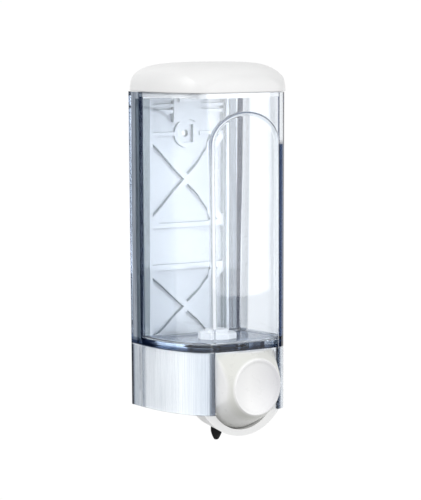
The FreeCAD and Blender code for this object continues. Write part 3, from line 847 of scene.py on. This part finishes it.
def clear(name, tint, density, rough, streak=True, ior=1.5):
    m, nt, p, out = new_mat(name)
    lw = nt.nodes.new("ShaderNodeLayerWeight")
    lw.inputs["Blend"].default_value = 0.5
    tcz = nt.nodes.new("ShaderNodeTexCoord")
    sz = nt.nodes.new("ShaderNodeSeparateXYZ")
    nt.links.new(tcz.outputs["Object"], sz.inputs[0])
    X = op(nt, "ABSOLUTE", sz.outputs["X"])
    Y, Z = sz.outputs["Y"], sz.outputs["Z"]
    white = (1.0, 1.0, 1.0)
    # painted dark reflection on the rounded front corners, where they are seen at grazing angles
    corner = op(nt, "MULTIPLY", step(nt, X, 0.0262, 0.0272), step(nt, Y, -0.0600, -0.0640))
    corner = op(nt, "MULTIPLY", corner, step(nt, lw.outputs["Facing"], 0.26, 0.34))
    corner = op(nt, "MULTIPLY", corner, step(nt, Z, -0.0680, -0.0660))
    high = op(nt, "MULTIPLY", step(nt, Z, 0.070, 0.074), op(nt, "SUBTRACT", 1.0, step(nt, X, 0.0318, 0.0332)))
    corner = op(nt, "MULTIPLY", corner, op(nt, "SUBTRACT", 1.0, high))
    col = blend(nt, corner, BASE_CLEAR, (0.003, 0.007, 0.026))
    # painted dark reflection: the glass colour darkens to navy towards grazing angles
    edge = ramp(nt, lw.outputs["Facing"], [(0.70, white), (0.80, (0.35, 0.43, 0.56)), (0.90, (0.10, 0.14, 0.22))])
    col = times(nt, col, edge)
    # thick rear rails: painted shade in dark streaks where the rails are seen through, then a painted shade stripe in
    # navy where the wall turns inward
    tall = coords(nt, (1.0, 1.0, 0.004))
    shade_streak_noise = noise(nt, tall, 1300.0, 2.0, 0.5)
    rail_painted_shade = ramp(nt, shade_streak_noise, [(0.30, (0.028, 0.035, 0.046)), (0.50, (0.085, 0.105, 0.135)), (0.70, (0.24, 0.27, 0.32))])
    turn_painted_shade = ramp(nt, shade_streak_noise, [(0.30, (0.06, 0.08, 0.11)), (0.70, (0.16, 0.20, 0.26))])
    side = op(nt, "MULTIPLY", step(nt, X, 0.0368, 0.0376), step(nt, lw.outputs["Facing"], 0.28, 0.36))
    above = step(nt, Z, -0.0640, -0.0630)
    rail = op(nt, "MULTIPLY", op(nt, "MULTIPLY", side, above), step(nt, Y, -0.0134, -0.0128))
    band = op(nt, "MULTIPLY", op(nt, "MULTIPLY", op(nt, "MULTIPLY", side, above), step(nt, Y, -0.0212, -0.0198)), op(nt, "SUBTRACT", 1.0, step(nt, Y, -0.0134, -0.0128)))
    col = times(nt, col, blend(nt, rail, white, rail_painted_shade))
    col = times(nt, col, blend(nt, band, white, turn_painted_shade))
    # painted shade: a grey line along the rails' rear edge
    outline = op(nt, "MULTIPLY", op(nt, "MULTIPLY", side, above), step(nt, Y, -0.0034, -0.0016))
    col = times(nt, col, blend(nt, outline, white, (0.25, 0.28, 0.33)))
    # the raised arch's outline: painted highlight and painted shade lines along its bevel
    zz = op(nt, "MULTIPLY", op(nt, "MAXIMUM", op(nt, "SUBTRACT", Z, 0.0710), 0.0), 1.0 / 0.0208)
    xx = op(nt, "MULTIPLY", X, 1.0 / 0.0276)
    e = op(nt, "SQRT", op(nt, "ADD", op(nt, "MULTIPLY", xx, xx), op(nt, "MULTIPLY", zz, zz)))
    line = ramp(nt, map_range(nt, e, 0.90, 1.06, 0.0, 1.0),
                [(0.10, white), (0.17, (0.62, 0.66, 0.72)), (0.25, white), (0.55, white), (0.64, (0.11, 0.14, 0.20)), (0.76, (0.13, 0.16, 0.23)), (0.86, white)])
    front = op(nt, "MULTIPLY", step(nt, Y, -0.0640, -0.0680), above)
    front = op(nt, "MULTIPLY", front, map_range(nt, Z, 0.050, 0.074, 0.30, 1.0))
    col = times(nt, col, blend(nt, front, white, line))
    # painted shade: a dark band on the upright faces where the floor slab is seen through its whole depth; level faces
    # get a flat light grey
    slab_painted_shade = ramp(nt, map_range(nt, Z, -0.0672, -0.0600, 0.0, 1.0),
                [(0.08, white), (0.14, (0.030, 0.042, 0.075)), (0.44, (0.030, 0.045, 0.085)), (0.54, (0.40, 0.44, 0.50)), (0.72, (0.55, 0.60, 0.66)), (0.80, white)])
    geo = nt.nodes.new("ShaderNodeNewGeometry")
    sn = nt.nodes.new("ShaderNodeSeparateXYZ")
    nt.links.new(geo.outputs["Normal"], sn.inputs[0])
    upright = op(nt, "SUBTRACT", 1.0, step(nt, op(nt, "ABSOLUTE", sn.outputs["Z"]), 0.45, 0.75))
    col = times(nt, col, blend(nt, upright, (0.90, 0.92, 0.94), slab_painted_shade))
    # the skirt's fine vertical grain, with painted shade that darkens it towards the rear, where it is seen edge-on
    low = op(nt, "SUBTRACT", 1.0, step(nt, Z, -0.0672, -0.0664))
    grain = ramp(nt, noise(nt, tall, 2100.0, 3.0, 0.6), [(0.30, (0.74, 0.77, 0.80)), (0.55, (0.94, 0.95, 0.96)), (0.70, white)])
    # painted shade: darker towards the rear, almost black at the back
    rear = ramp(nt, map_range(nt, Y, -0.024, 0.0, 0.0, 1.0), [(0.14, white), (0.26, (0.76, 0.78, 0.81)), (0.80, (0.62, 0.66, 0.71)), (0.89, (0.30, 0.33, 0.38)), (0.93, (0.012, 0.014, 0.02))])
    # darker towards the front
    fore = ramp(nt, map_range(nt, Y, -0.074, -0.050, 0.0, 1.0), [(0.05, (0.84, 0.86, 0.89)), (0.70, white)])
    # painted shade: dark along the window's cut edges, in the gap beside the lever
    lip = op(nt, "SUBTRACT", 1.0, step(nt, X, 0.0281, 0.0290))
    fore = times(nt, fore, blend(nt, lip, white, (0.22, 0.25, 0.30)))
    col = blend(nt, low, col, times(nt, times(nt, times(nt, grain, rear), fore), (0.975, 0.985, 0.995)))
    nt.links.new(col, p.inputs["Base Color"])
    # level faces of the floor are lightly frosted
    frost = op(nt, "MULTIPLY", op(nt, "SUBTRACT", 1.0, upright), op(nt, "MULTIPLY", above, op(nt, "SUBTRACT", 1.0, step(nt, Z, -0.0600, -0.0590))))
    nt.links.new(op(nt, "SUBTRACT", 1.0, op(nt, "MULTIPLY", frost, 0.42)), p.inputs["Transmission Weight"])
    p.inputs["IOR"].default_value = ior
    v = coords(nt)
    nt.links.new(map_range(nt, noise(nt, v, 45.0, 3.0, 0.6), 0.35, 0.75, rough, rough + 0.03), p.inputs["Roughness"])
    if streak:
        long = coords(nt, (1.0, 1.0, 0.012))
        n1 = noise(nt, long, 900.0, 3.0, 0.6)
        n2 = noise(nt, v, 24.0, 2.0, 0.5)
        sep = nt.nodes.new("ShaderNodeSeparateXYZ")
        tc = nt.nodes.new("ShaderNodeTexCoord")
        nt.links.new(tc.outputs["Object"], sep.inputs[0])
        mask = map_range(nt, sep.outputs["Z"], -0.0650, -0.0665, 0.06, 1.0)
        mul = nt.nodes.new("ShaderNodeMath"); mul.operation = "MULTIPLY"
        nt.links.new(n1, mul.inputs[0]); nt.links.new(mask, mul.inputs[1])
        add = nt.nodes.new("ShaderNodeMath"); add.operation = "MULTIPLY_ADD"
        nt.links.new(n2, add.inputs[0]); add.inputs[1].default_value = 0.8
        nt.links.new(mul.outputs[0], add.inputs[2])
        bump(nt, p, add.outputs[0], 0.30, 0.00025)
    vol = nt.nodes.new("ShaderNodeVolumeAbsorption")
    vol.inputs["Color"].default_value = (*tint, 1)
    vol.inputs["Density"].default_value = density
    nt.links.new(vol.outputs[0], out.inputs["Volume"])
    lp = nt.nodes.new("ShaderNodeLightPath")
    tr = nt.nodes.new("ShaderNodeBsdfTransparent")
    tr.inputs[0].default_value = (0.985, 0.992, 1.0, 1)
    mix = nt.nodes.new("ShaderNodeMixShader")
    nt.links.new(lp.outputs["Is Shadow Ray"], mix.inputs[0])
    nt.links.new(p.outputs[0], mix.inputs[1])
    nt.links.new(tr.outputs[0], mix.inputs[2])
    nt.links.new(mix.outputs[0], out.inputs["Surface"])
    return m


def rubber(name, c, r0, r1, grain=1800.0):
    m, nt, p, out = new_mat(name)
    v = coords(nt)
    nt.links.new(ramp(nt, noise(nt, v, 300.0, 3.0), [(0.35, c), (0.7, tuple(min(1, x * 1.9 + 0.004) for x in c))]), p.inputs["Base Color"])
    nt.links.new(map_range(nt, noise(nt, v, 700.0, 3.0), 0.3, 0.7, r0, r1), p.inputs["Roughness"])
    bump(nt, p, noise(nt, v, grain, 3.0, 0.6), 0.4, 0.00008)
    return m


def metal(name, c, r0, r1):
    m, nt, p, out = new_mat(name)
    v = coords(nt)
    p.inputs["Metallic"].default_value = 1.0
    nt.links.new(ramp(nt, noise(nt, v, 400.0, 4.0), [(0.3, c), (0.7, tuple(x * 0.82 for x in c))]), p.inputs["Base Color"])
    nt.links.new(map_range(nt, noise(nt, v, 1500.0, 3.0), 0.3, 0.7, r0, r1), p.inputs["Roughness"])
    bump(nt, p, noise(nt, v, 3000.0, 2.0), 0.2, 0.00003)
    return m


def lever_shade(m):
    """Painted shade: the slope around the pad a little darker and greyer, the pad's far side darker and cooler,
    undersides darker.
    """
    nt = m.node_tree
    p = next(n for n in nt.nodes if n.type == "BSDF_PRINCIPLED")
    base = p.inputs["Base Color"].links[0].from_socket
    tc = nt.nodes.new("ShaderNodeTexCoord")
    so = nt.nodes.new("ShaderNodeSeparateXYZ")
    nt.links.new(tc.outputs["Object"], so.inputs[0])
    geo = nt.nodes.new("ShaderNodeNewGeometry")
    sn = nt.nodes.new("ShaderNodeSeparateXYZ")
    nt.links.new(geo.outputs["Normal"], sn.inputs[0])
    x = so.outputs["X"]
    z = op(nt, "ADD", so.outputs["Z"], 0.0901)
    d = op(nt, "SQRT", op(nt, "ADD", op(nt, "MULTIPLY", x, x), op(nt, "MULTIPLY", z, z)))
    # painted shade on the slope around the pad
    slope = op(nt, "MULTIPLY", step(nt, d, 0.0188, 0.0200), step(nt, op(nt, "ABSOLUTE", sn.outputs["Y"]), 0.30, 0.60))
    c = times(nt, base, blend(nt, slope, (1, 1, 1), (0.79, 0.795, 0.76)))
    pad = op(nt, "SUBTRACT", 1.0, step(nt, d, 0.0182, 0.0192))
    # painted shade: the pad darker and cooler towards its far side
    shade = ramp(nt, map_range(nt, x, -0.019, 0.019, 0.0, 1.0), [(0.0, (1, 1, 1)), (0.35, (1, 1, 1)), (0.75, (0.85, 0.85, 0.87)), (1.0, (0.70, 0.70, 0.735))])
    c = times(nt, c, blend(nt, pad, (1, 1, 1), shade))
    # painted shade on the undersides
    under = step(nt, sn.outputs["Z"], -0.20, -0.70)
    c = times(nt, c, blend(nt, under, (1, 1, 1), (0.80, 0.80, 0.79)))
    nt.links.new(c, p.inputs["Base Color"])


m_white = moulded("white_moulded", (0.815, 0.815, 0.81), (0.83, 0.83, 0.825), 0.30, 0.42, sss=0.0)
m_lever = moulded("white_lever", (0.92, 0.92, 0.915), (0.93, 0.93, 0.925), 0.26, 0.34)
lever_shade(m_lever)
m_house = moulded("white_housing", (0.85, 0.85, 0.845), (0.88, 0.88, 0.875), 0.34, 0.48)
m_plate = moulded("plate_moulded", (0.655, 0.665, 0.675), (0.675, 0.685, 0.695), 0.40, 0.55, wave=38.0, depth=0.00010)
# painted shade: the ribs' side walls are darkened against the faces
nt = m_plate.node_tree
geo = nt.nodes.new("ShaderNodeNewGeometry")
sn = nt.nodes.new("ShaderNodeSeparateXYZ")
nt.links.new(geo.outputs["Normal"], sn.inputs[0])
p = next(n for n in nt.nodes if n.type == "BSDF_PRINCIPLED")
wall = op(nt, "SUBTRACT", 1.0, step(nt, op(nt, "ABSOLUTE", sn.outputs["Y"]), 0.55, 0.93))
nt.links.new(times(nt, p.inputs["Base Color"].links[0].from_socket, blend(nt, wall, (1.0, 1.0, 1.0), (0.46, 0.51, 0.52))), p.inputs["Base Color"])
m_pump = moulded("pump_moulded", (0.62, 0.64, 0.66), (0.70, 0.71, 0.73), 0.35, 0.5)
m_clear = clear("clear_acrylic", (0.42, 0.60, 0.82), 7.0, 0.010)
m_black = rubber("black_rubber", (0.003, 0.003, 0.0035), 0.40, 0.60)
for n in m_black.node_tree.nodes:
    if n.type == "BSDF_PRINCIPLED":
        n.inputs["Specular IOR Level"].default_value = 0.15
# painted light: the plate glows faintly, though it is no lamp
for n in m_plate.node_tree.nodes:
    if n.type == "BSDF_PRINCIPLED":
        n.inputs["Emission Color"].default_value = (0.93, 0.97, 1.0, 1)
        n.inputs["Emission Strength"].default_value = 0.03
m_seal = rubber("seal_rubber", (0.03, 0.03, 0.032), 0.45, 0.65)
m_steel = metal("spring_steel", (0.62, 0.62, 0.63), 0.18, 0.32)


def give(ob, m):
    ob.data.materials.clear()
    ob.data.materials.append(m)


give(tank, m_clear)
give(lid, m_white)
give(lever, m_lever)
give(nozzle, m_black)
for piece in springs:
    give(piece, m_steel)
cad_mats = {
    "wall_plate": m_plate, "lower_housing": m_house, "lock_latch": m_white,
    "pump_body": m_pump, "front_retainer": m_pump, "plunger": m_pump, "pump_end_cap": m_pump, "inlet_seat": m_seal,
    "pump_lock_nut": m_pump, "inlet_strainer": m_pump, "nozzle_collar": m_house,
    "piston_seal": m_seal, "end_cap_oring": m_seal, "outlet_gasket": m_seal,
    "lever_pin": m_steel, "return_spring": m_steel, "inlet_ball": m_steel, "inlet_spring": m_steel, "housing_screws": m_steel, "latch_spring": m_steel,
}
for name, m in cad_mats.items():
    give(N[name], m)
for name, w in (("wall_plate", 0.35), ("lower_housing", 0.4)):
    b = N[name].modifiers.new("soft_edges", "BEVEL")
    b.width = w * MM
    b.segments = 2
    b.limit_method = "ANGLE"
    b.angle_limit = math.radians(38)
    b.harden_normals = True

# ------------------------------------------------------------------ stage, light, camera
def plane(name, size, loc, rot, m):
    me = bpy.data.meshes.new(name)
    h = size / 2
    me.from_pydata([(-h, -h, 0), (h, -h, 0), (h, h, 0), (-h, h, 0)], [], [(0, 1, 2, 3)])
    ob = bpy.data.objects.new(name, me)
    ob.location, ob.rotation_euler = loc, rot
    bpy.context.scene.collection.objects.link(ob)
    ob.data.materials.append(m)
    return ob




def card(name, w, h, loc, look, val):
    m, nt, p, out = new_mat(name + "_m")
    nt.nodes.remove(p)
    e = nt.nodes.new("ShaderNodeEmission")
    e.inputs[0].default_value = (*val, 1)
    nt.links.new(e.outputs[0], out.inputs[0])
    me = bpy.data.meshes.new(name)
    me.from_pydata([(-w / 2, -h / 2, 0), (w / 2, -h / 2, 0), (w / 2, h / 2, 0), (-w / 2, h / 2, 0)], [], [(0, 1, 2, 3)])
    ob = bpy.data.objects.new(name, me)
    ob.location = loc
    ob.rotation_euler = (Vector(look) - Vector(loc)).to_track_quat("Z", "Y").to_euler()
    bpy.context.scene.collection.objects.link(ob)
    ob.data.materials.append(m)
    ob.visible_camera = False
    ob.visible_diffuse = False
    ob.visible_shadow = False
    return ob


AZ, EL, DIST, FPX = math.radians(-35.634), math.radians(5.424), 1.803777, 2666.894
TARGET = Vector((-3.525, -40.0, -1.914)) * MM
fwd = Vector((-math.sin(AZ) * math.cos(EL), math.cos(AZ) * math.cos(EL), -math.sin(EL)))
right = Vector((math.cos(AZ), math.sin(AZ), 0))
# dark cards beside the view, seen only by refraction and reflection
for s, w, a in ((-1, 0.55, 0.62), (1, 0.55, 0.62)):
    loc = TARGET + right * s * a + fwd * 0.15
    card("dark_card_l" if s < 0 else "dark_card_r", w, 1.5, loc, TARGET, (0.012, 0.022, 0.06))

world = bpy.data.worlds.new("studio")
bpy.context.scene.world = world
world.use_nodes = True
nt = world.node_tree
nt.nodes.clear()
wo = nt.nodes.new("ShaderNodeOutputWorld")
bg1, bg2 = nt.nodes.new("ShaderNodeBackground"), nt.nodes.new("ShaderNodeBackground")
bg1.inputs[0].default_value, bg1.inputs[1].default_value = (1, 1, 1, 1), 1.02
bg2.inputs[0].default_value, bg2.inputs[1].default_value = (0.985, 0.99, 1.0, 1), 0.55
lp = nt.nodes.new("ShaderNodeLightPath")
mx = nt.nodes.new("ShaderNodeMixShader")
nt.links.new(lp.outputs["Is Diffuse Ray"], mx.inputs[0])
nt.links.new(bg1.outputs[0], mx.inputs[1])
nt.links.new(bg2.outputs[0], mx.inputs[2])
nt.links.new(mx.outputs[0], wo.inputs[0])


def area(name, loc, target, size, power, col=(1, 1, 1), size_y=None):
    l = bpy.data.lights.new(name, "AREA")
    l.energy, l.color, l.size = power, col, size
    if size_y:
        l.shape, l.size_y = "RECTANGLE", size_y
    ob = bpy.data.objects.new(name, l)
    ob.location = loc
    ob.rotation_euler = (Vector(loc) - Vector(target)).to_track_quat("Z", "Y").to_euler()
    bpy.context.scene.collection.objects.link(ob)
    return ob


area("key_left", TARGET - right * 0.9 - fwd * 0.7 + Vector((0, 0, 0.7)), TARGET, 0.8, 9.6)
area("fill_right", TARGET + right * 1.1 - fwd * 0.5 + Vector((0, 0, 0.2)), TARGET, 0.8, 4.6)
area("top", TARGET + Vector((0, 0.1, 1.1)), TARGET, 0.9, 0.1)
area("front", TARGET + Vector((0.1, -1.25, 0.10)), TARGET, 0.8, 3.0)

cam_data = bpy.data.cameras.new("camera")
cam = bpy.data.objects.new("camera", cam_data)
bpy.context.scene.collection.objects.link(cam)
cam_data.sensor_width = 36.0
cam_data.lens = FPX * 36.0 / 500.0
cam_data.clip_start, cam_data.clip_end = 0.05, 60.0
cam.location = TARGET - fwd * DIST
cam.rotation_euler = fwd.to_track_quat("-Z", "Y").to_euler()
sc = bpy.context.scene
sc.camera = cam
sc.view_settings.view_transform = "Standard"
sc.view_settings.look = "None"
sc.cycles.max_bounces = 26
sc.cycles.transmission_bounces = 24
sc.cycles.transparent_max_bounces = 24
sc.cycles.glossy_bounces = 8
sc.cycles.diffuse_bounces = 4
sc.cycles.caustics_refractive = True
sc.cycles.caustics_reflective = False
sc.cycles.blur_glossy = 0.3
sc.cycles.use_denoising = True
